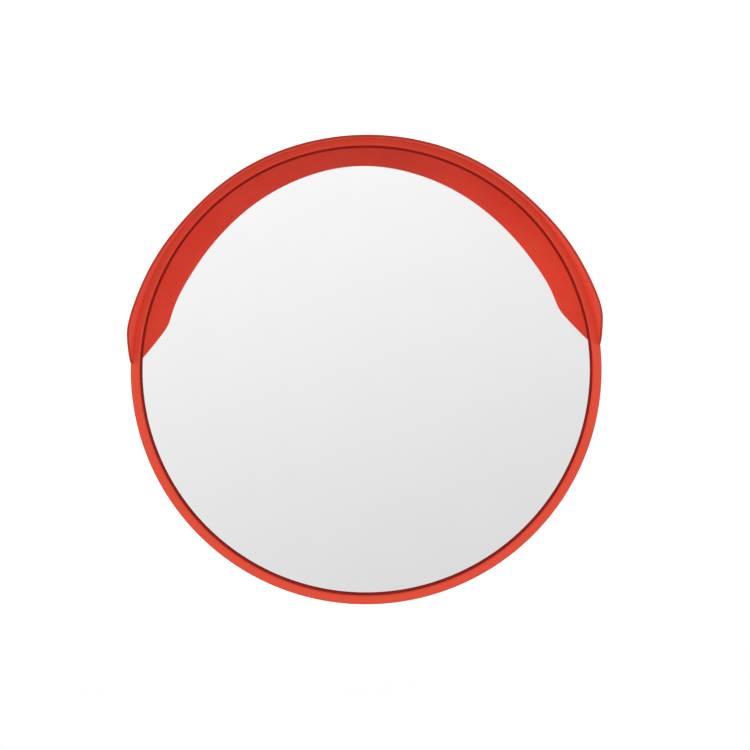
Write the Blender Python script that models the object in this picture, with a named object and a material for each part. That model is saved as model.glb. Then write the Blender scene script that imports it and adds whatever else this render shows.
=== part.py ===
"""Convex traffic mirror, 600 mm class, with a visor and a two-axis pole bracket.

The mirror faces -Y, +X is to the right as it is looked at, and +Z runs up the pole.
The origin is on the pole's axis, midway between the two U-bolts. Lengths are in metres.

Three groups of pieces move as one body each:
  bracket      clamped to the pole, carries the upright pan bolt
  knuckle      turns about the pan bolt
  mirror head  tilts on the knuckle about the level tilt bolt
Touching pieces keep a small gap, GAP, between their faces.
"""

from math import cos, exp, pi, radians, sin, sqrt, tan

import bmesh
import bpy
from mathutils import Vector

MM = 0.001
GAP = 0.3 * MM

# Mirror head, as radii about its own axis and depths in front of its rim plane
VISIBLE_RADIUS = 287 * MM       # where the mirror's surface crosses the rim plane
DOME_RADIUS = 1000 * MM         # radius of curvature of the mirror's surface
MIRROR_THICK = 3 * MM
MIRROR_EDGE = 290 * MM
SEAL_INNER = 285.6 * MM
SEAL_OUTER = 293.6 * MM
SEAL_FRONT = 2.1 * MM
SEAL_BACK = -6.5 * MM
BEZEL_OUTER = 300 * MM
BEZEL_INNER = 288.2 * MM
BEZEL_REBATE = 297.1 * MM       # outer radius where the visor lies round it
BEZEL_SKIRT = 294.7 * MM        # inner radius of the skirt
BEZEL_LIP = 3.3 * MM
BEZEL_FRONT = 5.8 * MM
LIP_ROUND = 3 * MM              # rounding of the ring's two front edges
REBATE_ROUND = 1 * MM           # the same where the visor lies round it
SKIRT_BACK = -20 * MM
SHELL_WALL = 3 * MM
SHELL_RIM = 294.4 * MM
SHELL_SHELF = 282 * MM          # inner edge of the shelf that backs the seal
SHELL_DEPTH = 58 * MM           # rim plane to the flat back of the dish
SHELL_FLAT = 110 * MM
SHELL_STEP = [(206 * MM, -43 * MM), (214 * MM, -37 * MM)]
SHELL_SHOULDER = (286 * MM, -26 * MM)
SHELF_THICK = 2.5 * MM

# Visor: a half band in the bezel's rebate, flush with it, flaring out over the mirror
VISOR_INNER = BEZEL_REBATE + GAP
VISOR_WALL = 2.4 * MM
VISOR_BACK = -18 * MM
VISOR_END = 4.6                 # degrees above the level diameter
REBATE_END = 4.5
VISOR_ROOT = 6 * MM             # depth from which it flares
VISOR_REACH = 91.5 * MM         # in front of the rim plane, on the flanks
VISOR_TOP_DIP = 12.5 * MM       # how much less it reaches at the top
VISOR_CORNER_DIP = 8 * MM       # how much less it reaches over each corner
VISOR_TIP = 14 * MM             # how far each slanted end starts in front of the rim plane
VISOR_SLANT = 1.45              # its rise forwards for each unit round the rim
VISOR_CUT = 5 * MM              # taken off its tip
VISOR_CORNER = 18 * MM          # softness of the corner above it
VISOR_FLARE = 0.052             # outwards for each unit forwards
CORNER_FLARE = 0.023            # more of the same over each corner
FLANK_DRAW = 0.026              # less of it halfway up each flank
VISOR_STATIONS = [VISOR_END, 5.2, 6, 7.5, 9, 12, 15, 18, 21, 24, 27, 30] + list(range(33, 90, 6))

# Bracket chain, as distances in front of the pole's axis
POLE_RADIUS = 38 * MM           # for a 76 mm pole
PLATE_BACK = 52 * MM
PLATE_THICK = 6 * MM
PAN_Y = -98 * MM
TILT_Y = -142 * MM
RIM_Y = -240 * MM
CLAMP_HEIGHT = 60 * MM          # of each U-bolt above and below the origin

MAST_PLATE_SIZE = (116 * MM, 176 * MM)
YOKE_PLATE_SIZE = (130 * MM, 130 * MM)
YOKE_PLATE_THICK = 5 * MM
BACKING_THICK = 3 * MM
MOUNT_SPACING = 96 * MM         # between the four bolts that hold the shell
EAR_THICK = 6 * MM
EAR_GAP = 20.4 * MM             # half the clear width between a pair of ears
MAST_EAR_RADIUS = 22 * MM
YOKE_EAR_RADIUS = 20 * MM
KNUCKLE_RADIUS = 17 * MM
KNUCKLE_HALF = 20 * MM
KNUCKLE_WEB = 13 * MM

# Saddles between the bracket's plate and the pole
SADDLE_HALF_WIDTH = 30 * MM
SADDLE_HEIGHT = 24 * MM
SADDLE_SLOPE = radians(30)

# Fasteners
U_BOLT_RADIUS = 4 * MM
U_BOLT_LEG = POLE_RADIUS + U_BOLT_RADIUS + 0.4 * MM
U_BOLT_TIP = 75 * MM            # in front of the pole's axis
SCREW_RADIUS = 2 * MM
SCREW_HEAD = 4 * MM
SCREW_CONE = 2.2 * MM
SCREW_TIP = 289 * MM
SCREW_DEPTH = -13 * MM
VISOR_SCREW_ANGLES = (6, 30, 60, 90, 120, 150, 174)
BEZEL_SCREW_ANGLES = (210, 240, 270, 300, 330)
M8 = {"shank": 4 * MM, "flats": 6.5 * MM, "head": 5.3 * MM, "nut": 6.5 * MM,
      "washer": 8.5 * MM, "washer_thick": 1.6 * MM}
M10 = {"shank": 5 * MM, "flats": 8 * MM, "head": 6.4 * MM, "nut": 8.4 * MM,
       "washer": 10 * MM, "washer_thick": 2 * MM}

SEGMENTS = 60                   # round the mirror head
SMALL_SEGMENTS = 12             # round a fastener


# ---------------------------------------------------------------- materials

def material(name, colour, roughness, metallic=0.0):
    """Return a Principled material with the given linear colour."""
    mat = bpy.data.materials.new(name)
    mat.use_nodes = True
    shader = mat.node_tree.nodes["Principled BSDF"]
    shader.inputs["Base Color"].default_value = (*colour, 1.0)
    shader.inputs["Roughness"].default_value = roughness
    shader.inputs["Metallic"].default_value = metallic
    mat.diffuse_color = (*colour, 1.0)
    return mat


def finish_for(name, kind):
    """Return the own material of one sub-part, in one of the finishes used here."""
    finishes = {
        "orange": ((0.78, 0.07, 0.03), 0.38, 0.0),
        "mirror": ((0.90, 0.91, 0.91), 0.03, 1.0),
        "rubber": ((0.02, 0.015, 0.015), 0.75, 0.0),
        "steel": ((0.55, 0.56, 0.58), 0.45, 1.0),
        "zinc": ((0.70, 0.70, 0.68), 0.32, 1.0),
    }
    return material(name + "_finish", *finishes[kind])


# ---------------------------------------------------------------- mesh making

def add_object(name, bm, kind, parent=None, location=(0, 0, 0), rotation=(0, 0, 0)):
    """Make a named object of a closed bmesh, with its faces pointing out."""
    bmesh.ops.recalc_face_normals(bm, faces=bm.faces)
    mesh = bpy.data.meshes.new(name)
    bm.to_mesh(mesh)
    bm.free()
    mesh.shade_smooth()
    mesh.set_sharp_from_angle(angle=radians(35))
    obj = bpy.data.objects.new(name, mesh)
    bpy.context.scene.collection.objects.link(obj)
    if kind:
        mesh.materials.append(finish_for(name, kind))
    obj.parent = parent
    obj.location = location
    obj.rotation_euler = rotation
    return obj


def empty(name, location, parent=None):
    """Make an empty that stands on a joint's axis."""
    obj = bpy.data.objects.new(name, None)
    obj.empty_display_size = 0.03
    obj.parent = parent
    obj.location = location
    bpy.context.scene.collection.objects.link(obj)
    return obj


def loft(rings, closed=False):
    """Skin a list of equal point loops; a closed loft meets its own first ring."""
    bm = bmesh.new()
    loops = [[bm.verts.new(point) for point in ring] for ring in rings]
    pairs = list(zip(loops, loops[1:]))
    if closed:
        pairs.append((loops[-1], loops[0]))
    for first, second in pairs:
        count = len(first)
        for i in range(count):
            j = (i + 1) % count
            bm.faces.new((first[i], first[j], second[j], second[i]))
    if not closed:
        bm.faces.new(loops[0])
        bm.faces.new(loops[-1])
    return bm


def head_point(radius, depth, angle):
    """Point of the mirror head: angle counter-clockwise from +X, depth towards -Y."""
    return (radius * cos(angle), -depth, radius * sin(angle))


def head_rings(profile):
    """Turn a profile of (radius, depth) into rings about the mirror's axis."""
    step = 2 * pi / SEGMENTS
    angles = [(i + 0.5) * step for i in range(SEGMENTS)]
    return [[head_point(r, d, a) for a in angles] for r, d in profile]


def small_ring(height, radius, hexagonal=False):
    """One ring of a fastener about +Z; a hexagonal ring's radius is half its flats."""
    points = []
    for i in range(SMALL_SEGMENTS):
        angle = 2 * pi * i / SMALL_SEGMENTS
        r = radius
        if hexagonal:
            r = radius / cos((angle + pi / 6) % (pi / 3) - pi / 6)
        points.append((r * cos(angle), r * sin(angle), height))
    return points


def prism(outline, low, high, axis="Z"):
    """Extrude a flat outline between two heights along X, Y or Z."""
    place = {
        "X": lambda u, v, w: (w, u, v),
        "Y": lambda u, v, w: (u, w, v),
        "Z": lambda u, v, w: (u, v, w),
    }[axis]
    rings = [[place(u, v, w) for u, v in outline] for w in (low, high)]
    return loft(rings)


def rounded_rectangle(width, height, corner, steps=4):
    """Outline of a rectangle with rounded corners, about the origin."""
    points = []
    for quarter in range(4):
        side_u = 1 if quarter in (0, 3) else -1
        side_v = 1 if quarter in (0, 1) else -1
        for i in range(steps + 1):
            angle = (quarter + i / steps) * pi / 2
            u = side_u * (width / 2 - corner) + corner * cos(angle)
            v = side_v * (height / 2 - corner) + corner * sin(angle)
            points.append((u, v))
    return points


def ear_outline(root, centre, radius, steps=10):
    """Outline of an ear: straight sides from root to centre, then a half round end."""
    sign = 1 if centre > root else -1
    points = [(root, -radius)]
    for i in range(steps + 1):
        angle = -pi / 2 + pi * i / steps
        points.append((centre + sign * radius * cos(angle), radius * sin(angle)))
    points.append((root, radius))
    return points


def cylinder(radius, low, high, axis="Z", count=24):
    """A plain round bar between two heights along an axis."""
    outline = [(radius * cos(2 * pi * i / count), radius * sin(2 * pi * i / count))
               for i in range(count)]
    return prism(outline, low, high, axis)


def merge(target, others):
    """Put several bmeshes that don't touch into one."""
    for other in others:
        mesh = bpy.data.meshes.new("scratch")
        other.to_mesh(mesh)
        target.from_mesh(mesh)
        bpy.data.meshes.remove(mesh)
        other.free()
    return target


def combine(obj, other_bm, operation, label):
    """Add a Boolean to an object, with its tool kept as a wire guide beside it."""
    tool = add_object(obj.name + "_" + label, other_bm, None)
    tool.parent = obj.parent
    tool.location = obj.location
    tool.rotation_euler = obj.rotation_euler
    tool.display_type = "WIRE"
    tool.hide_render = True
    modifier = obj.modifiers.new(label, "BOOLEAN")
    modifier.operation = operation
    modifier.solver = "EXACT"
    modifier.object = tool


def moved(bm, offset):
    """Shift a bmesh and return it."""
    bmesh.ops.translate(bm, verts=bm.verts, vec=Vector(offset))
    return bm


# ---------------------------------------------------------------- mirror head

def dome_depth(radius, curvature):
    """Depth of a sphere of the given curvature, from the rim plane."""
    rim = sqrt(DOME_RADIUS**2 - VISIBLE_RADIUS**2)
    return sqrt(curvature**2 - radius**2) - rim


def build_mirror_face(parent, location):
    """Domed sheet, mirrored in front, of one thickness all over."""
    radii = [r * MM for r in (30, 90, 150, 200, 245, 270)] + [MIRROR_EDGE]
    front = [(r, dome_depth(r, DOME_RADIUS)) for r in radii]
    back = [(r, dome_depth(r, DOME_RADIUS - MIRROR_THICK)) for r in radii]
    profile = front + back[::-1]
    add_object("mirror_face", loft(head_rings(profile)), "mirror", parent, location)


def build_edge_seal(parent, location):
    """Rubber channel round the mirror's edge, whose slot follows the dome's slope."""
    slot = MIRROR_EDGE + 0.4 * MM
    clear = 0.4 * MM
    back_curve = DOME_RADIUS - MIRROR_THICK
    profile = [
        (SEAL_INNER, SEAL_FRONT),
        (SEAL_OUTER, SEAL_FRONT),
        (SEAL_OUTER, SEAL_BACK),
        (SEAL_INNER, SEAL_BACK),
        (SEAL_INNER, dome_depth(SEAL_INNER, back_curve) - clear),
        (slot, dome_depth(slot, back_curve) - clear),
        (slot, dome_depth(slot, DOME_RADIUS) + clear),
        (SEAL_INNER, dome_depth(SEAL_INNER, DOME_RADIUS) + clear),
    ]
    add_object("edge_seal", loft(head_rings(profile), closed=True), "rubber", parent, location)


def screw_cutter(angle, surface):
    """Countersunk hole along a radius: its axis is local +Z turned to the angle."""
    rings = [
        small_ring(SCREW_TIP - 2 * MM, SCREW_RADIUS + GAP),
        small_ring(surface - SCREW_CONE, SCREW_RADIUS + GAP),
        small_ring(surface, SCREW_HEAD + GAP),
        small_ring(surface + 2 * MM, SCREW_HEAD + GAP),
    ]
    bm = loft(rings)
    for vert in bm.verts:
        across, along, out = vert.co
        radial = Vector((cos(angle), 0, sin(angle)))
        tangent = Vector((-sin(angle), 0, cos(angle)))
        vert.co = radial * out + tangent * across + Vector((0, along - SCREW_DEPTH, 0))
    bmesh.ops.recalc_face_normals(bm, faces=bm.faces)
    return bm


def flat_radius(radius):
    """Distance from the axis to the middle of a facet of the given corner radius."""
    return radius * cos(pi / SEGMENTS)


def screw_cutters(angles, surface):
    """All the countersunk holes of one row, as one guide."""
    first, *rest = [screw_cutter(radians(angle), surface) for angle in angles]
    return merge(first, rest)


def facet_radius(radius, degrees):
    """Radius at an angle of the 60-sided ring whose corners have the given radius."""
    side = 360 / SEGMENTS
    off = radians(degrees - side * round(degrees / side))
    return flat_radius(radius) / cos(off)


def section(profile, degrees):
    """A profile of (radius, depth), set up at one angle of the 60-sided rings."""
    return [head_point(facet_radius(r, degrees), d, radians(degrees)) for r, d in profile]


def ring_outside(outer, rounding):
    """Outer face of the ring's profile, with its front edge rounded over."""
    ease = 0.3 * rounding
    return [
        (outer, SKIRT_BACK),
        (outer, BEZEL_FRONT - rounding),
        (outer - ease, BEZEL_FRONT - ease),
        (outer - rounding, BEZEL_FRONT),
    ]


def build_bezel_ring(parent, location):
    """Ring with a rounded front lip, a skirt back over the shell and a rebate for the visor.

    The sections go round from the end of the rebate, through the lower half, and back.
    """
    under = BEZEL_FRONT - BEZEL_LIP
    ease = 0.3 * LIP_ROUND
    inside = [
        (BEZEL_INNER + LIP_ROUND, BEZEL_FRONT),
        (BEZEL_INNER + ease, BEZEL_FRONT - ease),
        (BEZEL_INNER, under),
        (BEZEL_SKIRT, under),
        (BEZEL_SKIRT, SKIRT_BACK),
    ]
    full = ring_outside(BEZEL_OUTER, LIP_ROUND)
    rebated = ring_outside(BEZEL_REBATE, REBATE_ROUND)
    step = 0.1
    above = [REBATE_END] + list(range(9, 174, 6)) + [180 - REBATE_END]
    below = [180 - REBATE_END + step] + list(range(177, 366, 6)) + [360 + REBATE_END - step]
    rings = [section(rebated + inside, a) for a in above] + [section(full + inside, a) for a in below]
    ring = add_object("bezel_ring", loft(rings, closed=True), "orange", parent, location)
    through = screw_cutters(VISOR_SCREW_ANGLES, flat_radius(VISOR_INNER + VISOR_WALL))
    combine(ring, through, "DIFFERENCE", "visor_holes")
    countersunk = screw_cutters(BEZEL_SCREW_ANGLES, flat_radius(BEZEL_OUTER))
    combine(ring, countersunk, "DIFFERENCE", "bezel_holes")


def build_back_shell(parent, location):
    """Moulded dish in two steps, with a rim inside the bezel and a shelf for the seal."""
    shelf_front = SEAL_BACK - GAP
    shelf_back = shelf_front - SHELF_THICK
    middle = 20 * MM
    dish = [(SHELL_FLAT, -SHELL_DEPTH), *SHELL_STEP, SHELL_SHOULDER]
    lining = [(r - SHELL_WALL / 2, d + SHELL_WALL) for r, d in dish]
    outside = [
        (middle, -SHELL_DEPTH),
        *dish,
        (SHELL_RIM, SKIRT_BACK),
        (SHELL_RIM, shelf_front),
    ]
    inside = [
        (SHELL_SHELF, shelf_front),
        (SHELL_SHELF, shelf_back),
        (SHELL_RIM - SHELL_WALL, shelf_back),
        (SHELL_RIM - SHELL_WALL, SKIRT_BACK + SHELL_WALL / 2),
        *reversed(lining),
        (middle, SHELL_WALL - SHELL_DEPTH),
    ]
    shell = add_object("back_shell", loft(head_rings(outside + inside)), "orange", parent, location)
    angles = VISOR_SCREW_ANGLES + BEZEL_SCREW_ANGLES
    combine(shell, screw_cutters(angles, flat_radius(BEZEL_OUTER)), "DIFFERENCE", "screw_holes")
    holes = mount_holes(SHELL_DEPTH - SHELL_WALL - 2 * MM, SHELL_DEPTH + 2 * MM)
    combine(shell, holes, "DIFFERENCE", "mount_holes")


def bell(degrees, centre, width):
    """Bell curve of height one."""
    return exp(-(((degrees - centre) / width) ** 2))


def visor_reach(degrees):
    """How far the visor stands out at an angle above the level diameter.

    Each end is cut on a straight slant on the unrolled band, with its tip taken off. The front
    edge dips a little at the top and over each corner. The two are blended by a soft minimum,
    which rounds the corner between them.
    """
    above = min(degrees, 180 - degrees)
    round_rim = radians(above - VISOR_END) * BEZEL_OUTER
    slant = VISOR_TIP + VISOR_SLANT * round_rim - VISOR_CUT * exp(VISOR_END - above)
    level = VISOR_REACH - VISOR_TOP_DIP * bell(above, 90, 20) - VISOR_CORNER_DIP * bell(above, 20, 9)
    half_gap = (slant - level) / 2
    return (slant + level) / 2 - sqrt(half_gap**2 + VISOR_CORNER**2 / 4)


def visor_spread(degrees, depth):
    """How far the visor has flared out at an angle and depth."""
    above = min(degrees, 180 - degrees)
    flare = VISOR_FLARE + CORNER_FLARE * bell(above, 15, 8) - FLANK_DRAW * bell(above, 45, 14)
    return flare * max(0, depth - VISOR_ROOT)


def build_visor(parent, location):
    """Half band in the bezel's rebate, with slanted ends, held by countersunk screws."""
    stations = VISOR_STATIONS + [180 - a for a in reversed(VISOR_STATIONS)]
    rings = []
    for degrees in stations:
        front = visor_reach(degrees)
        inner = VISOR_INNER + visor_spread(degrees, front)
        profile = [
            (VISOR_INNER, VISOR_BACK),
            (VISOR_INNER, VISOR_ROOT),
            (inner, front),
            (inner + VISOR_WALL, front),
            (VISOR_INNER + VISOR_WALL, VISOR_ROOT),
            (VISOR_INNER + VISOR_WALL, VISOR_BACK),
        ]
        rings.append(section(profile, degrees))
    visor = add_object("visor", loft(rings), "orange", parent, location)
    holes = screw_cutters(VISOR_SCREW_ANGLES, flat_radius(VISOR_INNER + VISOR_WALL))
    combine(visor, holes, "DIFFERENCE", "screw_holes")


def build_rim_screws(prefix, angles, surface, parent, location):
    """Countersunk screws along the radii, flush with the face they hold."""
    length = surface - SCREW_TIP
    rings = [
        small_ring(0, 0.8 * MM),
        small_ring(1.5 * MM, SCREW_RADIUS),
        small_ring(length - SCREW_CONE, SCREW_RADIUS),
        small_ring(length - 0.2 * MM, SCREW_HEAD),
    ]
    for number, degrees in enumerate(angles, 1):
        angle = radians(degrees)
        at = Vector(location) + Vector(head_point(SCREW_TIP, SCREW_DEPTH, angle))
        turn = (0, pi / 2 - angle, 0)
        add_object(f"{prefix}_{number}", loft(rings), "zinc", parent, at, turn)


# ---------------------------------------------------------------- fasteners

def corners(half_u, half_v):
    """The four corners of a rectangle about the origin."""
    return [(u, v) for u in (-half_u, half_u) for v in (-half_v, half_v)]


def mount_holes(low, high):
    """Four holes along Y for the bolts between the yoke's plate and the shell."""
    half = MOUNT_SPACING / 2
    bars = [moved(cylinder(M8["shank"] + GAP, low, high, "Y", 12), (u, 0, v))
            for u, v in corners(half, half)]
    return merge(bars[0], bars[1:])


def add_bolt(name, size, length, parent, location, rotation):
    """Hexagon bolt: local +Z runs out of its head, the shank's root is at the origin."""
    rings = [
        small_ring(-length, size["shank"] * 0.8),
        small_ring(-length + 1.5 * MM, size["shank"]),
        small_ring(0, size["shank"]),
        small_ring(0, size["flats"], hexagonal=True),
        small_ring(size["head"] - 0.8 * MM, size["flats"], hexagonal=True),
        small_ring(size["head"], size["flats"] * 0.93),
    ]
    add_object(name, loft(rings), "zinc", parent, location, rotation)


def add_nut(name, size, parent, location, rotation):
    """Hexagon nut that stands on the origin, along local +Z."""
    hole = size["shank"] + GAP
    rings = [
        small_ring(0, hole),
        small_ring(0, size["flats"], hexagonal=True),
        small_ring(size["nut"], size["flats"], hexagonal=True),
        small_ring(size["nut"], hole),
    ]
    add_object(name, loft(rings, closed=True), "zinc", parent, location, rotation)


def add_washer(name, size, parent, location, rotation):
    """Flat washer that stands on the origin, along local +Z."""
    hole = size["shank"] + GAP
    thick = size["washer_thick"]
    rings = [
        small_ring(0, hole),
        small_ring(0, size["washer"]),
        small_ring(thick, size["washer"]),
        small_ring(thick, hole),
    ]
    add_object(name, loft(rings, closed=True), "zinc", parent, location, rotation)


def build_pivot_bolt(prefix, axis, parent):
    """Bolt, nut and two washers through a pair of ears, about a joint's axis."""
    face = EAR_GAP + EAR_THICK + GAP
    head_seat = face + M10["washer_thick"] + GAP
    nut_height = M10["nut"] + 4 * MM
    outward = {"X": ((0, pi / 2, 0), (0, -pi / 2, 0)), "Z": ((0, 0, 0), (pi, 0, 0))}[axis]
    along = Vector((1, 0, 0)) if axis == "X" else Vector((0, 0, 1))
    add_bolt(prefix + "_bolt", M10, 2 * head_seat + nut_height, parent, along * head_seat, outward[0])
    add_washer(prefix + "_washer_1", M10, parent, along * face, outward[0])
    add_washer(prefix + "_washer_2", M10, parent, -along * face, outward[1])
    add_nut(prefix + "_nut", M10, parent, -along * head_seat, outward[1])


def build_mount_fasteners(parent, plate_y):
    """Four bolts from inside the shell, with washers and nuts on the yoke's plate.

    plate_y is the back face of the yoke's plate under the parent.
    """
    stack = YOKE_PLATE_THICK + SHELL_WALL + BACKING_THICK + 3 * GAP
    head_y = plate_y - stack
    washer_y = plate_y + GAP
    nut_y = washer_y + M8["washer_thick"] + GAP
    length = nut_y - head_y + M8["nut"] + 3 * MM
    forward = (pi / 2, 0, 0)
    backward = (-pi / 2, 0, 0)
    half = MOUNT_SPACING / 2
    for number, (u, v) in enumerate(corners(half, half), 1):
        add_bolt(f"mount_bolt_{number}", M8, length, parent, (u, head_y, v), forward)
        add_washer(f"mount_washer_{number}", M8, parent, (u, washer_y, v), backward)
        add_nut(f"mount_nut_{number}", M8, parent, (u, nut_y, v), backward)


# ---------------------------------------------------------------- bracket

def build_backing_plate(parent, plate_y):
    """Steel plate inside the shell that spreads the load of the four bolts."""
    front = plate_y - YOKE_PLATE_THICK - SHELL_WALL - BACKING_THICK - 2 * GAP
    outline = rounded_rectangle(*YOKE_PLATE_SIZE, 10 * MM, steps=2)
    plate = add_object("backing_plate", prism(outline, front, front + BACKING_THICK, "Y"), "steel", parent)
    combine(plate, mount_holes(front - MM, front + BACKING_THICK + MM), "DIFFERENCE", "holes")


def build_tilt_yoke(parent, plate_y):
    """Plate on the shell's back with two upright ears for the tilt bolt, welded."""
    outline = rounded_rectangle(*YOKE_PLATE_SIZE, 12 * MM)
    yoke = add_object("tilt_yoke", prism(outline, plate_y - YOKE_PLATE_THICK, plate_y, "Y"), "steel", parent)
    ear = ear_outline(plate_y - YOKE_PLATE_THICK / 2, 0, YOKE_EAR_RADIUS)
    right = prism(ear, EAR_GAP, EAR_GAP + EAR_THICK, "X")
    left = prism(ear, -EAR_GAP - EAR_THICK, -EAR_GAP, "X")
    combine(yoke, merge(right, [left]), "UNION", "ears")
    reach = EAR_GAP + EAR_THICK + 2 * MM
    combine(yoke, cylinder(M10["shank"] + GAP, -reach, reach, "X"), "DIFFERENCE", "bore")
    combine(yoke, mount_holes(plate_y - 2 * YOKE_PLATE_THICK, plate_y + MM), "DIFFERENCE", "holes")


def build_knuckle(parent):
    """Swivel block with an upright bore on the pan axis and a level one in front."""
    reach = TILT_Y - PAN_Y
    upright = cylinder(KNUCKLE_RADIUS, -KNUCKLE_HALF, KNUCKLE_HALF, "Z")
    knuckle = add_object("knuckle", upright, "steel", parent)
    level = moved(cylinder(KNUCKLE_RADIUS, -KNUCKLE_HALF, KNUCKLE_HALF, "X"), (0, reach, 0))
    combine(knuckle, level, "UNION", "level_barrel")
    web = rounded_rectangle(2 * KNUCKLE_WEB, 2 * KNUCKLE_WEB, 3 * MM, steps=2)
    combine(knuckle, prism(web, reach, 0, "Y"), "UNION", "web")
    bore = M10["shank"] + GAP
    pan_bore = cylinder(bore, -KNUCKLE_HALF - MM, KNUCKLE_HALF + MM, "Z")
    combine(knuckle, pan_bore, "DIFFERENCE", "pan_bore")
    tilt_bore = moved(cylinder(bore, -KNUCKLE_HALF - MM, KNUCKLE_HALF + MM, "X"), (0, reach, 0))
    combine(knuckle, tilt_bore, "DIFFERENCE", "tilt_bore")


def build_mast_bracket():
    """Upright plate in front of the pole with two level ears for the pan bolt, welded."""
    front = -PLATE_BACK - PLATE_THICK
    outline = rounded_rectangle(*MAST_PLATE_SIZE, 12 * MM)
    bracket = add_object("mast_bracket", prism(outline, front, -PLATE_BACK, "Y"), "steel")
    ear = [(u, v) for v, u in ear_outline(front + PLATE_THICK / 2, PAN_Y, MAST_EAR_RADIUS)]
    upper = prism(ear, EAR_GAP, EAR_GAP + EAR_THICK, "Z")
    lower = prism(ear, -EAR_GAP - EAR_THICK, -EAR_GAP, "Z")
    combine(bracket, merge(upper, [lower]), "UNION", "ears")
    reach = EAR_GAP + EAR_THICK + 2 * MM
    pan_bore = moved(cylinder(M10["shank"] + GAP, -reach, reach, "Z"), (0, PAN_Y, 0))
    combine(bracket, pan_bore, "DIFFERENCE", "bore")
    bars = [moved(cylinder(U_BOLT_RADIUS + GAP, front - MM, MM - PLATE_BACK, "Y", 12), (u, 0, v))
            for u, v in corners(U_BOLT_LEG, CLAMP_HEIGHT)]
    combine(bracket, merge(bars[0], bars[1:]), "DIFFERENCE", "clamp_holes")


def build_saddle(name, height):
    """Block between plate and pole, with a notch of two faces that touch the pole."""
    notch = -(POLE_RADIUS + GAP) / cos(SADDLE_SLOPE)
    shoulder = notch + SADDLE_HALF_WIDTH * tan(SADDLE_SLOPE)
    back = -PLATE_BACK + GAP
    outline = [
        (-SADDLE_HALF_WIDTH, back),
        (SADDLE_HALF_WIDTH, back),
        (SADDLE_HALF_WIDTH, shoulder),
        (0, notch),
        (-SADDLE_HALF_WIDTH, shoulder),
    ]
    block = prism(outline, -SADDLE_HEIGHT / 2, SADDLE_HEIGHT / 2, "Z")
    add_object(name, block, "steel", None, (0, 0, height))


def build_u_bolt(name, height):
    """Rod bent to a half round behind the pole, with two legs forward through the plate."""
    bends = 12
    arc = [pi * i / bends for i in range(bends + 1)]
    path = [(U_BOLT_LEG, -U_BOLT_TIP, 0)]
    path += [(U_BOLT_LEG * cos(turn), U_BOLT_LEG * sin(turn), turn) for turn in arc]
    path.append((-U_BOLT_LEG, -U_BOLT_TIP, pi))
    rings = []
    for x, y, outward in path:
        ring = []
        for i in range(SMALL_SEGMENTS):
            around = 2 * pi * i / SMALL_SEGMENTS
            out = U_BOLT_RADIUS * cos(around)
            up = U_BOLT_RADIUS * sin(around)
            ring.append((x + out * cos(outward), y + out * sin(outward), up))
        rings.append(ring)
    add_object(name, loft(rings), "zinc", None, (0, 0, height))


def build_clamp_fasteners():
    """A washer and a nut on each leg of the two U-bolts."""
    washer_y = -PLATE_BACK - PLATE_THICK - GAP
    nut_y = washer_y - M8["washer_thick"] - GAP
    forward = (pi / 2, 0, 0)
    for number, (u, v) in enumerate(corners(U_BOLT_LEG, CLAMP_HEIGHT), 1):
        add_washer(f"u_bolt_washer_{number}", M8, None, (u, washer_y, v), forward)
        add_nut(f"u_bolt_nut_{number}", M8, None, (u, nut_y, v), forward)


# ---------------------------------------------------------------- assembly

def main():
    """Clear the scene and build the mirror."""
    for obj in list(bpy.data.objects):
        bpy.data.objects.remove(obj)

    pan_pivot = empty("pan_pivot", (0, PAN_Y, 0))
    tilt_pivot = empty("tilt_pivot", (0, TILT_Y - PAN_Y, 0), pan_pivot)
    rim = (0, RIM_Y - TILT_Y, 0)
    plate_y = RIM_Y + SHELL_DEPTH + GAP + YOKE_PLATE_THICK - TILT_Y

    build_mirror_face(tilt_pivot, rim)
    build_edge_seal(tilt_pivot, rim)
    build_bezel_ring(tilt_pivot, rim)
    build_back_shell(tilt_pivot, rim)
    build_visor(tilt_pivot, rim)
    visor_face = flat_radius(VISOR_INNER + VISOR_WALL)
    bezel_face = flat_radius(BEZEL_OUTER)
    build_rim_screws("visor_screw", VISOR_SCREW_ANGLES, visor_face, tilt_pivot, rim)
    build_rim_screws("bezel_screw", BEZEL_SCREW_ANGLES, bezel_face, tilt_pivot, rim)
    build_backing_plate(tilt_pivot, plate_y)
    build_tilt_yoke(tilt_pivot, plate_y)
    build_mount_fasteners(tilt_pivot, plate_y)
    build_pivot_bolt("tilt", "X", tilt_pivot)

    build_knuckle(pan_pivot)

    build_mast_bracket()
    pan_bolt_seat = empty("pan_bolt_seat", (0, PAN_Y, 0))
    build_pivot_bolt("pan", "Z", pan_bolt_seat)
    for side, height in (("upper", CLAMP_HEIGHT), ("lower", -CLAMP_HEIGHT)):
        build_saddle("pole_saddle_" + side, height)
        build_u_bolt("u_bolt_" + side, height)
    build_clamp_fasteners()


main()
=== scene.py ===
"""Surfaces and finishes of a convex traffic mirror with a visor, on its pole bracket.

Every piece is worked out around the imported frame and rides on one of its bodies.
The mirror looks along -Y. Its depth is counted forward, towards -Y, from the rim plane,
where the domed surface meets the seal. Lengths are in metres and angles in radians.
"""

from math import atan2, cos, pi, radians, sin

import bmesh
import bpy
import numpy as np
from bpy.props import FloatProperty, FloatVectorProperty, PointerProperty
from bpy.types import Operator, Panel, PropertyGroup
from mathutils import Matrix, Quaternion, Vector


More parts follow.
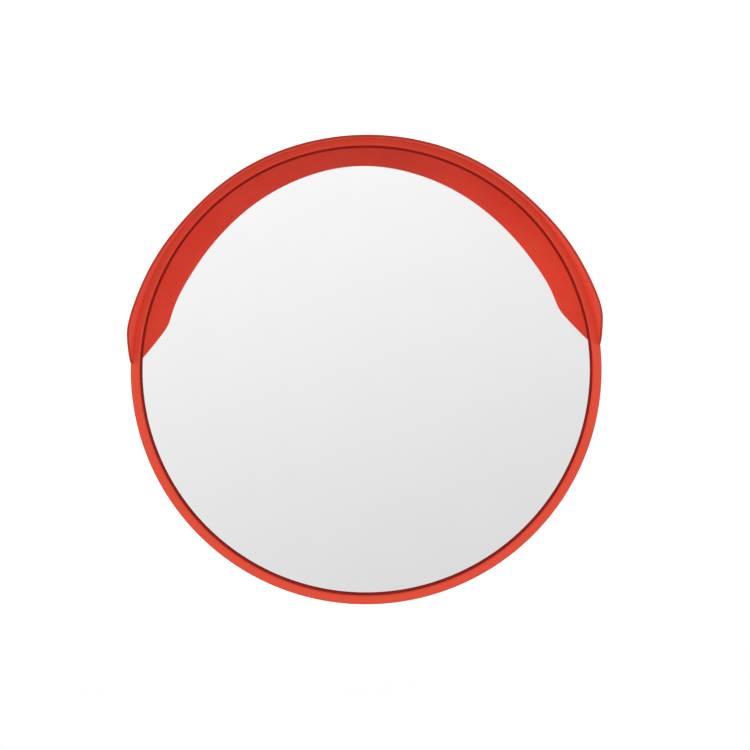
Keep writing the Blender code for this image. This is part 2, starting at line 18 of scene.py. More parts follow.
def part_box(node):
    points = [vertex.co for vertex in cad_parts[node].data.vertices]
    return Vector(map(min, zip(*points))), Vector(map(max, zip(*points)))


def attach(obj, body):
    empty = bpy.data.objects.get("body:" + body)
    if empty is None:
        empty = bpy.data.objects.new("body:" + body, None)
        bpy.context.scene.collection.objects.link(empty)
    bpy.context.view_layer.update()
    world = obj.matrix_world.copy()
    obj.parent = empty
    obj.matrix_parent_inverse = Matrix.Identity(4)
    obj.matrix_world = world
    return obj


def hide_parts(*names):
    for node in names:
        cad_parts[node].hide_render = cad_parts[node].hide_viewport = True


bl_info = {
    "name": "Convex Traffic Mirror",
    "version": (1, 0, 0),
    "blender": (4, 5, 0),
    "location": "View3D > Sidebar > Mirror",
    "description": "Builds the visible surfaces of a convex traffic mirror round its frame",
    "category": "Object",
}

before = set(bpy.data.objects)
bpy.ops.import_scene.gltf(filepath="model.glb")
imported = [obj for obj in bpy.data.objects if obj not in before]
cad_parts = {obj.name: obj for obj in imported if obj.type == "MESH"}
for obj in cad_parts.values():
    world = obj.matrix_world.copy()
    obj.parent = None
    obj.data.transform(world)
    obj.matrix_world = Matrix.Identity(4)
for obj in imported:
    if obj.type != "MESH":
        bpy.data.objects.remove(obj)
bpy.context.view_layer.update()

MM = 0.001

# The frame's rings have 60 sides, and the round ones here lie inside their flats.
FRAME_SIDES = 60
ROUND = cos(pi / FRAME_SIDES)

# Places read from the frame
BEZEL_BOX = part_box("bezel_ring")
MIRROR_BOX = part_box("mirror_face")
SEAL_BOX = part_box("edge_seal")
SHELL_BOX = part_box("back_shell")
SKIRT_LENGTH = 20 * MM
RIM_Y = BEZEL_BOX[1].y - SKIRT_LENGTH
RIM_RADIUS = 300 * MM           # over the corners of the frame's ring
BEZEL_RADIUS = -BEZEL_BOX[0].z
REBATE_RADIUS = BEZEL_BOX[1].z
VISOR_WALL = 2.8 * MM
VISOR_INNER = REBATE_RADIUS - 0.1 * MM    # presses on the ring, so that no light gets through
VISOR_END = radians(4.6)
REBATE_END = radians(4.5)

# Screws through the rim, in their countersinks
SCREW_DEPTH = -13 * MM
SCREW_HEAD = 4 * MM
SCREW_CONE = 2.2 * MM
SCREW_SHANK = 2 * MM
COUNTERSINK = 4.3 * MM
COUNTERSINK_GRID = 5.4 * MM     # how far from a screw the finer grid reaches
COUNTERSINK_STEP = 0.6 * MM
SCREW_LENGTH = {"visor": 10.1 * MM, "bezel": 10.3 * MM}

# Metric fasteners: half widths, heights and thread pitch
METRIC = {
    "M8": {"shank": 4 * MM, "flats": 6.5 * MM, "head": 5.3 * MM, "pitch": 1.25 * MM},
    "M10": {"shank": 5 * MM, "flats": 8 * MM, "head": 6.4 * MM, "pitch": 1.5 * MM},
}
HOLE_PLAY = 0.3 * MM
THREAD_DEPTH = 0.61             # of the pitch
BOLT_THREAD = 16 * MM
U_BOLT_THREAD = 28 * MM

SHARP_EDGE = radians(38)


def linear(code):
    """Turn an sRGB hex code into linear red, green and blue."""
    values = [int(code[i:i + 2], 16) / 255 for i in (1, 3, 5)]
    return [v / 12.92 if v <= 0.04045 else ((v + 0.055) / 1.055) ** 2.4 for v in values]


# ---------------------------------------------------------------- settings

COLOUR = {"subtype": "COLOR", "size": 3, "min": 0, "max": 1}


class HeadSizes(PropertyGroup):
    """Sizes of the mirror head that shape its surfaces."""

    dome_radius: FloatProperty(
        name="Dome radius", description="Radius of curvature of the mirror",
        default=1.0, unit="LENGTH")
    visible_radius: FloatProperty(
        name="Visible radius", description="Radius at which the dome meets the rim plane",
        default=0.287, unit="LENGTH")
    visor_reach: FloatProperty(
        name="Visor reach", description="How far the visor stands out on its flanks",
        default=0.0915, unit="LENGTH")
    visor_dip: FloatProperty(
        name="Visor dip", description="How much less the visor reaches at the top",
        default=0.0125, unit="LENGTH")
    corner_dip: FloatProperty(
        name="Corner dip", description="How much less the visor reaches over its corners",
        default=0.008, unit="LENGTH")
    visor_slant: FloatProperty(
        name="Visor slant", description="Rise of its slanted ends for each unit round the rim",
        default=1.45)
    visor_flare: FloatProperty(
        name="Visor flare", description="Outwards for each unit forwards", default=0.052)
    corner_flare: FloatProperty(
        name="Corner flare", description="More of the same over each corner", default=0.023)
    flank_draw: FloatProperty(
        name="Flank draw", description="Less of the flare halfway up each flank", default=0.026)
    edge_round: FloatProperty(
        name="Plate edge", description="Width of the softened edges of the steel plates",
        default=0.0007, unit="LENGTH")


class Finishes(PropertyGroup):
    """Colours that a user would change."""

    plastic: FloatVectorProperty(
        name="Plastic", description="Pigment of the visor, ring and shell",
        default=linear("#D53922"), **COLOUR)
    plastic_dark: FloatVectorProperty(
        name="Plastic, dark flow", description="Pigment where the melt flowed thin",
        default=linear("#CF321D"), **COLOUR)
    # Painted shade: a darker pigment that the finish gives to faces that look forward and up.
    plastic_facing_shade: FloatVectorProperty(
        name="Plastic, chalked", description="Pigment where sun and rain meet it from the front",
        default=linear("#B83F2D"), **COLOUR)
    coating: FloatVectorProperty(
        name="Mirror coating", description="Reflected tint of the aluminium coating",
        default=linear("#F6F6F6"), **COLOUR)
    rubber: FloatVectorProperty(
        name="Rubber", description="Colour of the edge seal",
        default=linear("#6E1510"), **COLOUR)
    zinc: FloatVectorProperty(
        name="Zinc", description="Colour of the dipped zinc on the plates",
        default=linear("#B9BBBD"), **COLOUR)
    zinc_straw: FloatVectorProperty(
        name="Plating, straw", description="Warm cast of the plated zinc on the fasteners",
        default=linear("#B8B2A0"), **COLOUR)
    zinc_blue: FloatVectorProperty(
        name="Plating, blue", description="Cool cast of the plated zinc on the fasteners",
        default=linear("#A7AFB7"), **COLOUR)


class StudioSettings(PropertyGroup):
    """Camera and light."""

    distance: FloatProperty(
        name="Distance", description="From the camera to the rim plane",
        default=3.4, unit="LENGTH")
    height: FloatProperty(
        name="Height", description="Of the camera above the mirror's axis",
        default=0.38, unit="LENGTH")
    sideways: FloatProperty(
        name="Sideways", description="Of the camera from the mirror's axis, to the right",
        default=-0.03, unit="LENGTH")
    aim_right: FloatProperty(
        name="Aim right", description="How far right of the mirror's centre the camera aims",
        default=0.0107, unit="LENGTH")
    aim_down: FloatProperty(
        name="Aim down", description="How far below the mirror's centre the camera aims",
        default=0.0040, unit="LENGTH")
    roll: FloatProperty(
        name="Roll", description="Turn of the camera about its own view",
        default=radians(-2.3), subtype="ANGLE")
    lens: FloatProperty(
        name="Focal length", description="In millimetres on a 36 mm sensor", default=129.0)
    key_power: FloatProperty(
        name="Key power", description="Of the large lamp above on the left", default=8.0,
        unit="POWER")
    fill_power: FloatProperty(
        name="Fill power", description="Of each large lamp at the side", default=38.0,
        unit="POWER")
    front_power: FloatProperty(
        name="Front power", description="Of the large lamp in front", default=46.0,
        unit="POWER")
    floor_drop: FloatProperty(
        name="Floor", description="How far below the mirror's axis the floor lies",
        default=1.6, unit="LENGTH")


# ---------------------------------------------------------------- curves and grids

def full_turn(count):
    """Even angles round a full turn."""
    return np.linspace(0, 2 * pi, count + 1)[:-1]


def filleted(corners, steps=6, closed=True, between=()):
    """Round the corners of an outline given as (x, y, radius).

    Each corner becomes an arc of its radius that is tangent to both of its sides. The arc's
    centre lies on the corner's bisector, at radius / sin(half the corner's angle). between
    says how many points to add evenly on the straight side after each corner.
    """
    spots = np.array([c[:2] for c in corners], float)
    pieces = []
    for i, (_, _, radius) in enumerate(corners):
        here = spots[i]
        if radius == 0 or (not closed and i in (0, len(corners) - 1)):
            pieces.append(here[None])
            continue
        back = spots[i - 1] - here
        on = spots[(i + 1) % len(corners)] - here
        back /= np.linalg.norm(back)
        on /= np.linalg.norm(on)
        half = np.arccos(np.clip(back @ on, -1, 1)) / 2
        middle = (back + on) / np.linalg.norm(back + on)
        centre = here + middle * radius / np.sin(half)
        start = here + back * radius / np.tan(half) - centre
        end = here + on * radius / np.tan(half) - centre
        first = np.arctan2(start[1], start[0])
        turn = np.arctan2(start[0] * end[1] - start[1] * end[0], start @ end)
        angle = first + turn * np.linspace(0, 1, steps + 1)
        pieces.append(centre + radius * np.stack([np.cos(angle), np.sin(angle)], -1))
    for i, count in enumerate(between):
        on = pieces[(i + 1) % len(corners)][0]
        share = np.linspace(0, 1, count + 2)[1:-1, None]
        pieces[i] = np.vstack([pieces[i], pieces[i][-1] * (1 - share) + on * share])
    return np.vstack(pieces)


def detailed(low, high, coarse, centres, reach, fine):
    """Even steps from low to high, with finer ones within reach of each centre."""
    even = np.linspace(low, high, max(2, round((high - low) / coarse)) + 1)
    patches = [np.linspace(c - reach, c + reach, round(2 * reach / fine) + 1) for c in centres]
    if patches:
        near = np.min([np.abs(even - c) for c in centres], axis=0) < reach * 1.05
        ends = (even == low) | (even == high)
        even = even[~near | ends]
    stops = np.unique(np.concatenate([even, *patches]).clip(low, high))
    return stops[np.r_[True, np.diff(stops) > fine / 8]]


def turned(radius, height, angles):
    """Points about +Z: (radius cos angle, radius sin angle, height)."""
    x = radius * np.cos(angles)[:, None]
    return np.stack([x, radius * np.sin(angles)[:, None], height + 0 * x], -1)


def revolved(radius, depth, angles):
    """Points about the mirror's axis: (radius cos angle, rim plane - depth, radius sin angle)."""
    return turned(radius, RIM_Y - depth, angles)[..., [0, 2, 1]]


def skin(grid, wrap_u=False, wrap_v=False, close=""):
    """Quads between neighbouring points of an (m, n, 3) grid.

    A wrapped direction joins its last row to its first. close names an open direction, u or v,
    whose two end loops get a fan round their middle. Returns points, quads and triangles.
    """
    m, n = grid.shape[:2]
    index = np.arange(m * n).reshape(m, n)
    table = np.vstack([index, index[:1]]) if wrap_u else index
    table = np.hstack([table, table[:, :1]]) if wrap_v else table
    quads = np.stack([table[:-1, :-1], table[1:, :-1], table[1:, 1:], table[:-1, 1:]], -1)
    points = grid.reshape(-1, 3)
    fans = []
    if close:
        loops = (table[:, 0], table[::-1, -1]) if close == "v" else (table[0, ::-1], table[-1])
        for loop in loops:
            middle = np.full(len(loop) - 1, len(points))
            points = np.vstack([points, points[loop[:-1]].mean(0)])
            fans.append(np.stack([loop[1:], loop[:-1], middle], -1))
    triangles = np.concatenate(fans) if fans else np.zeros((0, 3), int)
    return points, quads.reshape(-1, 4), triangles


def outward(points, quads, triangles):
    """Turn all faces over if the volume that they enclose comes out negative."""
    halves = np.concatenate([quads[:, :3], quads[:, [0, 2, 3]], triangles])
    a, b, c = (points[halves[:, k]] for k in range(3))
    if np.einsum("ij,ij->i", a, np.cross(b, c)).sum() < 0:
        return points, quads[:, ::-1], triangles[:, ::-1]
    return points, quads, triangles


def make_piece(name, shells, kind, body, nodes=(), edge_shading=None):
    """Make one piece of one or more closed shells in one kind of finish, riding on its body.

    Its last argument says how far painted shade darkens each point of a plastic piece's grid,
    from 0 to 1.
    """
    material, slot = finish(kind)
    start, points, faces = 0, [], []
    for shell in shells:
        spots, quads, triangles = outward(*shell)
        points.append(spots)
        faces += (quads + start).tolist() + (triangles + start).tolist()
        start += len(spots)
    mesh = bpy.data.meshes.new(name)
    mesh.from_pydata(np.concatenate(points), [], faces)
    mesh.validate()
    mesh.shade_smooth()
    mesh.set_sharp_from_angle(angle=SHARP_EDGE)
    if kind == "plastic":
        paint_shade_attributes(mesh, edge_shading)
    mesh.materials.append(material)
    piece = bpy.data.objects.new(name, mesh)
    bpy.context.scene.collection.objects.link(piece)
    return settle(piece, body, nodes)


def paint_shade_attributes(mesh, edge_shading):
    """Give a plastic piece the two attributes that its finish reads, each from 0 to 1.

    The first, on each face corner, is the dot product of its normal and a way that points
    forwards and a little up, plus 0.1; the finish paints shade with it, a darker pigment on the
    faces that look forward and up. The second, on each point, is painted shade on the outer edges.
    """
    normals = np.empty(3 * len(mesh.loops), np.float32)
    mesh.corner_normals.foreach_get("vector", normals)
    # Painted shade: faces that look forward and up get the most, faces in the visor's shelter none.
    facing = normals.reshape(-1, 3) @ np.array([0, -1, 0.35], np.float32) + np.float32(0.1)
    side = mesh.attributes.new("facing_shade", "FLOAT", "CORNER")
    side.data.foreach_set("value", facing.clip(0, 1))
    if edge_shading is not None:
        edge_darkness = np.zeros(len(mesh.vertices), np.float32)
        edge_darkness[:edge_shading.size] = edge_shading.ravel()
        mesh.attributes.new("edge_shade", "FLOAT", "POINT").data.foreach_set("value", edge_darkness)


def settle(piece, body, nodes=()):
    """Attach a finished piece to the body it rides on and hide the frame nodes it stands for."""
    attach(piece, body)
    if nodes:
        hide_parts(*nodes)
    return piece


def stood(shell, origin, axis):
    """Carry a shell from a fastener's own frame, +Z out of its head, to its place."""
    points, quads, fans = shell
    out = np.array(axis, float)
    side = np.array([0, 0, 1.0]) if abs(out[0]) > 0.99 else np.array([1.0, 0, 0])
    if abs(out @ side) > 1e-6:
        side = np.array([0, 1.0, 0])
    across = np.cross(out, side)
    turn = np.stack([side, across, out])
    return points @ turn + np.array(origin), quads, fans


# ---------------------------------------------------------------- finishes

MIDDLE = {"From Min": 0.3, "From Max": 0.7}     # where most values of a noise lie
COLOUR_MIX = {"out": 2, "data_type": "RGBA"}    # its inputs: 0 factor, 6 and 7 the colours


def plug(tree, node, inputs):
    """Link each input to a socket, or set it to a value."""
    for key, value in inputs.items():
        if isinstance(value, bpy.types.NodeSocket):
            tree.links.new(value, node.inputs[key])
        else:
            node.inputs[key].default_value = value


def add_node(tree, kind, inputs, out=0, **settings):
    """Add a node with its settings and links, and return one of its outputs."""
    node = tree.nodes.new(kind)
    for key, value in settings.items():
        setattr(node, key, value)
    plug(tree, node, inputs)
    return node.outputs[out]


def new_finish(name):
    """An empty material with its shader and its Object coordinates."""
    mat = bpy.data.materials.new(name)
    mat.use_nodes = True
    tree = mat.node_tree
    where = add_node(tree, "ShaderNodeTexCoord", {}, "Object")
    return mat, tree, tree.nodes["Principled BSDF"], where


def moulded_abs(colours):
    """Pigmented ABS, injection moulded and lightly textured.

    Deep even orange-red with faint flow clouds a hand wide, a satin gloss, and the fine
    orange peel that a spark-eroded mould leaves. Faces that look forward or up get a darker
    pigment as painted shade, so they come out duller than those in the visor's shelter, and
    painted shade darkens the outer edges.
    """
    mat, tree, shader, where = new_finish("moulded_abs_orange_red")
    flow = add_node(tree, "ShaderNodeTexNoise", {"Vector": where, "Scale": 1 / (90 * MM), "Detail": 3})
    clouds = add_node(tree, "ShaderNodeMapRange", {"Value": flow, **MIDDLE})
    pigments = {0: clouds, 6: (*colours.plastic, 1), 7: (*colours.plastic_dark, 1)}
    unshaded = add_node(tree, "ShaderNodeMix", pigments, **COLOUR_MIX)
    # Painted shade: faces that look forward and up take the darker pigment.
    facing_factor = add_node(tree, "ShaderNodeAttribute", {}, "Fac", attribute_name="facing_shade")
    facing_shading = {0: facing_factor, 6: unshaded, 7: (*colours.plastic_facing_shade, 1)}
    facing_shaded = add_node(tree, "ShaderNodeMix", facing_shading, **COLOUR_MIX)
    # Painted shade: the outer edges are darkened towards a dark copy of the pigment.
    edge = add_node(tree, "ShaderNodeAttribute", {}, "Fac", attribute_name="edge_shade")
    edge_shade_colour = [c * 0.42 for c in colours.plastic_dark]
    colour = add_node(tree, "ShaderNodeMix", {0: edge, 6: facing_shaded, 7: (*edge_shade_colour, 1)}, **COLOUR_MIX)
    rub = add_node(tree, "ShaderNodeTexNoise", {"Vector": where, "Scale": 1 / (14 * MM), "Detail": 4})
    satin = {"Value": rub, **MIDDLE, "To Min": 0.46, "To Max": 0.56}
    gloss = add_node(tree, "ShaderNodeMapRange", satin)
    peel = add_node(tree, "ShaderNodeTexNoise", {"Vector": where, "Scale": 1 / (1.6 * MM)})
    peeled = {"Height": peel, "Strength": 0.1, "Distance": 0.05 * MM}
    sink = add_node(tree, "ShaderNodeTexNoise", {"Vector": where, "Scale": 1 / (26 * MM), "Detail": 1})
    sunk = {"Height": sink, "Strength": 0.12, "Distance": 0.25 * MM}
    sunk["Normal"] = add_node(tree, "ShaderNodeBump", peeled)
    normal = add_node(tree, "ShaderNodeBump", sunk)
    plug(tree, shader, {"Base Color": colour, "Roughness": gloss, "Normal": normal})
    plug(tree, shader, {"IOR": 1.52, "Specular IOR Level": 0.06})
    return mat


def coated_acrylic(colours):
    """Acrylic sheet, vacuum coated with aluminium and blow formed to a dome.

    A clear, slightly cool reflection with the faint long swell of a formed sheet and a
    breath of dust that softens it in patches.
    """
    mat, tree, shader, where = new_finish("vacuum_coated_acrylic_mirror")
    patches = {"Vector": where, "Scale": 1 / (60 * MM), "Detail": 5, "Roughness": 0.6}
    dust = add_node(tree, "ShaderNodeTexNoise", patches)
    haze = add_node(tree, "ShaderNodeMapRange", {"Value": dust, **MIDDLE})
    dusty = [c * 0.985 for c in colours.coating]
    tints = {0: haze, 6: (*colours.coating, 1), 7: (*dusty, 1)}
    colour = add_node(tree, "ShaderNodeMix", tints, **COLOUR_MIX)
    gloss = add_node(tree, "ShaderNodeMapRange", {"Value": haze, "To Min": 0.012, "To Max": 0.03})
    swell = add_node(tree, "ShaderNodeTexNoise", {"Vector": where, "Scale": 1 / (140 * MM), "Detail": 0})
    normal = add_node(tree, "ShaderNodeBump", {"Height": swell, "Strength": 0.25, "Distance": 0.12 * MM})
    plug(tree, shader, {"Base Color": colour, "Roughness": gloss, "Normal": normal, "Metallic": 1})
    return mat


def extruded_rubber(colours):
    """EPDM rubber, extruded and cured: deep red-brown, matt, with a paler bloom and fine grain."""
    mat, tree, shader, where = new_finish("extruded_epdm_rubber")
    patches = add_node(tree, "ShaderNodeTexNoise", {"Vector": where, "Scale": 1 / (22 * MM), "Detail": 4})
    bloom = add_node(tree, "ShaderNodeMapRange", {"Value": patches, **MIDDLE})
    pale = [min(1, c * 1.3 + 0.002) for c in colours.rubber]
    tints = {0: bloom, 6: (*colours.rubber, 1), 7: (*pale, 1)}
    colour = add_node(tree, "ShaderNodeMix", tints, **COLOUR_MIX)
    matt = add_node(tree, "ShaderNodeMapRange", {"Value": bloom, "To Min": 0.55, "To Max": 0.7})
    grain = add_node(tree, "ShaderNodeTexNoise", {"Vector": where, "Scale": 1 / (0.8 * MM)})
    normal = add_node(tree, "ShaderNodeBump", {"Height": grain, "Strength": 0.2, "Distance": 0.05 * MM})
    plug(tree, shader, {"Base Color": colour, "Roughness": matt, "Normal": normal})
    plug(tree, shader, {"IOR": 1.5, "Specular IOR Level": 0.06})
    return mat


def galvanised_steel(colours):
    """Steel plate, hot-dip galvanised.

    Grey zinc crystals 5 to 8 mm across that catch the light one by one, under a dull skin
    with small runs and pits.
    """
    mat, tree, shader, where = new_finish("hot_dip_galvanised_steel")
    warp = add_node(tree, "ShaderNodeTexNoise", {"Vector": where, "Scale": 1 / (6.25 * MM)}, "Color")
    offset = add_node(tree, "ShaderNodeVectorMath", {0: warp, "Scale": 4 * MM}, operation="SCALE")
    moved = add_node(tree, "ShaderNodeVectorMath", {0: where, 1: offset}, operation="ADD")
    crystal = add_node(tree, "ShaderNodeTexVoronoi", {"Vector": moved, "Scale": 1 / (6.45 * MM)}, "Color")
    tones = add_node(tree, "ShaderNodeSeparateColor", {"Color": crystal}).node.outputs
    dull = [c * 0.66 for c in colours.zinc]
    greys = {0: tones[0], 6: (*dull, 1), 7: (*colours.zinc, 1)}
    colour = add_node(tree, "ShaderNodeMix", greys, **COLOUR_MIX)
    gloss = add_node(tree, "ShaderNodeMapRange", {"Value": tones[1], "To Min": 0.36, "To Max": 0.56})
    runs = add_node(tree, "ShaderNodeTexNoise", {"Vector": where, "Scale": 1 / (3.5 * MM), "Detail": 3})
    normal = add_node(tree, "ShaderNodeBump", {"Height": runs, "Strength": 0.25, "Distance": 0.12 * MM})
    plug(tree, shader, {"Base Color": colour, "Roughness": gloss, "Normal": normal, "Metallic": 1})
    return mat


def plated_zinc(colours):
    """Steel, electroplated with zinc and passivated: bright, with a faint straw-blue cast."""
    mat, tree, shader, where = new_finish("zinc_plated_steel")
    patches = add_node(tree, "ShaderNodeTexNoise", {"Vector": where, "Scale": 1 / (9 * MM), "Detail": 3})
    cast = add_node(tree, "ShaderNodeMapRange", {"Value": patches, **MIDDLE})
    tints = {0: cast, 6: (*colours.zinc_straw, 1), 7: (*colours.zinc_blue, 1)}
    colour = add_node(tree, "ShaderNodeMix", tints, **COLOUR_MIX)
    rub = add_node(tree, "ShaderNodeTexNoise", {"Vector": where, "Scale": 1 / (4 * MM)})
    gloss = add_node(tree, "ShaderNodeMapRange", {"Value": rub, **MIDDLE, "To Min": 0.22, "To Max": 0.36})
    grain = add_node(tree, "ShaderNodeTexNoise", {"Vector": where, "Scale": 1 / (0.9 * MM)})
    normal = add_node(tree, "ShaderNodeBump", {"Height": grain, "Strength": 0.15, "Distance": 0.03 * MM})
    plug(tree, shader, {"Base Color": colour, "Roughness": gloss, "Normal": normal, "Metallic": 1})
    return mat


def studio_paint():
    """White matt paint on the cove, slightly self-lit so that it stays an even white."""
    mat, tree, shader, where = new_finish("matt_white_studio_paint")
    patches = add_node(tree, "ShaderNodeTexNoise", {"Vector": where, "Scale": 1 / (900 * MM)})
    shade = add_node(tree, "ShaderNodeMapRange", {"Value": patches, **MIDDLE})
    whites = {0: shade, 6: (*linear("#F7F7F7"), 1), 7: (*linear("#F4F4F4"), 1)}
    colour = add_node(tree, "ShaderNodeMix", whites, **COLOUR_MIX)
    plug(tree, shader, {"Base Color": colour, "Roughness": 0.9})
    plug(tree, shader, {"Emission Color": (1, 1, 1, 1), "Emission Strength": 0.35})
    return mat


FINISHES = {
    "plastic": (moulded_abs, "orange_plastic"),
    "mirror": (coated_acrylic, "mirrored_acrylic"),
    "rubber": (extruded_rubber, "seal_rubber"),
    "plate": (galvanised_steel, "galvanised_steel"),
    "zinc": (plated_zinc, "zinc_plated_steel"),
}
made_finishes = {}


def finish(kind):
    """The one material of a kind, made when it is first asked for, and its slot."""
    maker, slot = FINISHES[kind]
    if kind not in made_finishes:
        made_finishes[kind] = maker(bpy.context.scene.mirror_finishes)
    return made_finishes[kind], slot


# ---------------------------------------------------------------- mirror head

def screw_angles(prefix):
    """The angles of the rim screws of one row, read from their nodes."""
    names = sorted(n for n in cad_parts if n.startswith(prefix))
    middles = [(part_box(n)[0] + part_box(n)[1]) / 2 for n in names]
    return names, [atan2(m.z, m.x) % (2 * pi) for m in middles]


def rim_angles(low, high, step, centres, radius):
    """Even steps round the rim, with finer ones round each screw."""
    return detailed(low, high, step, centres, COUNTERSINK_GRID / radius, COUNTERSINK_STEP / radius)


def countersinks(angles, depth, centres, radius):
    """How deep the countersinks cut at each angle and depth.

    The cut is a cone: its depth is the countersink's radius less the distance to the screw's
    axis, measured along the surface, between nothing and the height of the screw's head.
    """
    along = np.abs((angles[:, None] - np.array(centres)[None] + pi) % (2 * pi) - pi)
    arc = along.min(1)[:, None] * radius
    away = np.hypot(arc, depth - SCREW_DEPTH)
    return np.clip((COUNTERSINK - away) * 1.1, 0, SCREW_CONE)


def dome_depth(radius, curvature, sizes):
    """Depth of a sphere of the given curvature, from the rim plane."""
    rim = (sizes.dome_radius**2 - sizes.visible_radius**2) ** 0.5
    return np.sqrt(curvature**2 - radius**2) - rim


class MIRROR_OT_face(Operator):
    """Domed mirror sheet"""

    bl_idname = "mirror.face"
    bl_label = "Mirror face"

    def execute(self, context):
        """The front is a sphere's cap and the back a sphere's cap one thickness behind it."""
        sizes = context.scene.mirror_head
        thick = 3 * MM
        edge = MIRROR_BOX[1].z
        ease = 0.6 * MM
        out = np.r_[0.002, np.linspace(0.01, edge - ease, 56)]
        turn = np.linspace(0, pi / 2, 5)[1:]
        corner = edge - ease + ease * np.sin(turn)
        drop = ease * (1 - np.cos(turn))
        front = dome_depth(out, sizes.dome_radius, sizes)
        back = dome_depth(out, sizes.dome_radius - thick, sizes)
        radius = np.r_[out, corner, corner[::-1], out[::-1]]
        depth = np.r_[front, front[-1] - drop, back[-1] + drop[::-1], back[::-1]]
        shell = skin(revolved(radius, depth, full_turn(360)), wrap_u=True, close="v")
        make_piece("mirror_dome", [shell], "mirror", "mirror_head", ["mirror_face"])
        return {"FINISHED"}


class MIRROR_OT_seal(Operator):
    """Rubber channel round the mirror's edge"""

    bl_idname = "mirror.seal"
    bl_label = "Edge seal"

    def execute(self, context):
        """A profile with a slot that follows the dome's slope, turned about the axis."""
        sizes = context.scene.mirror_head
        inner, outer = 285.6 * MM * ROUND, SEAL_BOX[1].z
        front, back = RIM_Y - SEAL_BOX[0].y, RIM_Y - SEAL_BOX[1].y
        slot_end = 290.4 * MM * ROUND
        clear = 0.4 * MM
        behind = sizes.dome_radius - 3 * MM
        small = 0.3 * MM
        corners = [
            (inner, front, 0.8 * MM),
            (outer, front, small),
            (outer, back, small),
            (inner, back, small),
            (inner, float(dome_depth(inner, behind, sizes)) - clear, small),
            (slot_end, float(dome_depth(slot_end, behind, sizes)) - clear, 0),
            (slot_end, float(dome_depth(slot_end, sizes.dome_radius, sizes)) + clear, 0),
            (inner, float(dome_depth(inner, sizes.dome_radius, sizes)) + clear, 0.15 * MM),
        ]
        profile = filleted(corners, steps=4)
        shell = skin(revolved(*profile.T, full_turn(360)), wrap_u=True, wrap_v=True)
        make_piece("edge_channel", [shell], "rubber", "mirror_head", ["edge_seal"])
        return {"FINISHED"}


class MIRROR_OT_bezel(Operator):
    """Ring over the seal, with its skirt"""

    bl_idname = "mirror.bezel"
    bl_label = "Bezel ring"

    def execute(self, context):
        """A rounded L profile turned about the axis, less the countersinks in its skirt.

        Round the upper half the profile's outer radius is the rebate's, in which the visor
        lies. The profile changes over in a tenth of a degree. Painted shade
        darkens its outer front edge.
        """
        lip = 3.3 * MM
        front = RIM_Y - BEZEL_BOX[0].y
        inner, skirt = 288.2 * MM * ROUND, 294.7 * MM * ROUND
        profiles = []
        for outer, corner in ((BEZEL_RADIUS, 3.0 * MM), (REBATE_RADIUS, 0.4 * MM)):
            corners = [
                (outer, -SKIRT_LENGTH, 0.8 * MM),
                (outer, front, corner),
                (inner, front, 3.0 * MM),
                (inner, front - lip, 0.6 * MM),
                (skirt, front - lip, 0.3 * MM),
                (skirt, -SKIRT_LENGTH, 0.8 * MM),
            ]
            profiles.append(filleted(corners, steps=8, between=(24, 3, 1, 2, 6, 1)))
        full, rebated = profiles
        _, centres = screw_angles("bezel_screw")
        angles = rim_angles(0, 2 * pi, radians(1), centres, BEZEL_RADIUS)[:-1]
        step = radians(0.1)
        ends = np.array([REBATE_END - step, REBATE_END, pi - REBATE_END, pi - REBATE_END + step])
        near = np.abs(angles[:, None] - ends).min(1) < 2 * step
        angles = np.sort(np.r_[angles[~near], ends])
        upper = (angles > REBATE_END - step / 2) & (angles < pi - REBATE_END + step / 2)
        profile = np.where(upper[:, None, None], rebated, full)
        radius, depth = profile[..., 0], profile[..., 1]
        cut = countersinks(angles, depth, centres, BEZEL_RADIUS)
        radius = radius - np.where(radius > (skirt + BEZEL_RADIUS) / 2, cut, 0)
        shell = skin(revolved(radius, depth, angles), wrap_u=True, wrap_v=True)
        # Painted shade: the points on the outer front edge are darkened.
        front_round = depth > front - 3.2 * MM
        outer_edge = front_round & (radius > BEZEL_RADIUS - 0.9 * MM)
        make_piece("bezel", [shell], "plastic", "mirror_head", ["bezel_ring"], edge_shading=0.7 * outer_edge)
        return {"FINISHED"}


class MIRROR_OT_shell(Operator):
    """Dish that closes the back"""

    bl_idname = "mirror.shell"
    bl_label = "Back shell"

    def execute(self, context):
        """A stepped dish of one wall thickness, turned about the axis."""
        depth = SHELL_BOX[1].y - RIM_Y
        rim = SHELL_BOX[1].z
        wall = 3 * MM
        shelf = RIM_Y - SHELL_BOX[0].y
        skirt = -SKIRT_LENGTH
        corners = [
            (0.002, -depth, 0),
            (110 * MM, -depth, 14 * MM),
            (206 * MM, -43 * MM, 8 * MM),
            (214 * MM, -37 * MM, 8 * MM),
            (286 * MM, -26 * MM, 10 * MM),
            (rim, skirt, 4 * MM),
            (rim, shelf, 0.5 * MM),
            (282 * MM, shelf, 0.5 * MM),
            (282 * MM, shelf - 2.5 * MM, 0.5 * MM),
            (rim - wall, shelf - 2.5 * MM, 0.5 * MM),
            (rim - wall, skirt + 1.5 * MM, 3 * MM),
            (284.5 * MM, -23 * MM, 8 * MM),
            (212.5 * MM, -34 * MM, 8 * MM),
            (204.5 * MM, -40 * MM, 8 * MM),
            (109 * MM, wall - depth, 12 * MM),
            (0.002, wall - depth, 0),
        ]
        sides = (14, 12, 0, 9, 0, 1, 1, 0, 1, 1, 0, 9, 0, 12, 14)
        profile = filleted(corners, steps=6, closed=False, between=sides)
        shell = skin(revolved(*profile.T, full_turn(360)), wrap_u=True, close="v")
        make_piece("rear_dish", [shell], "plastic", "mirror_head", ["back_shell"])
        return {"FINISHED"}


def bell(angle, centre, width):
    """Bell curve of height one, with its centre and width in degrees."""
    return np.exp(-(((angle - radians(centre)) / radians(width)) ** 2))


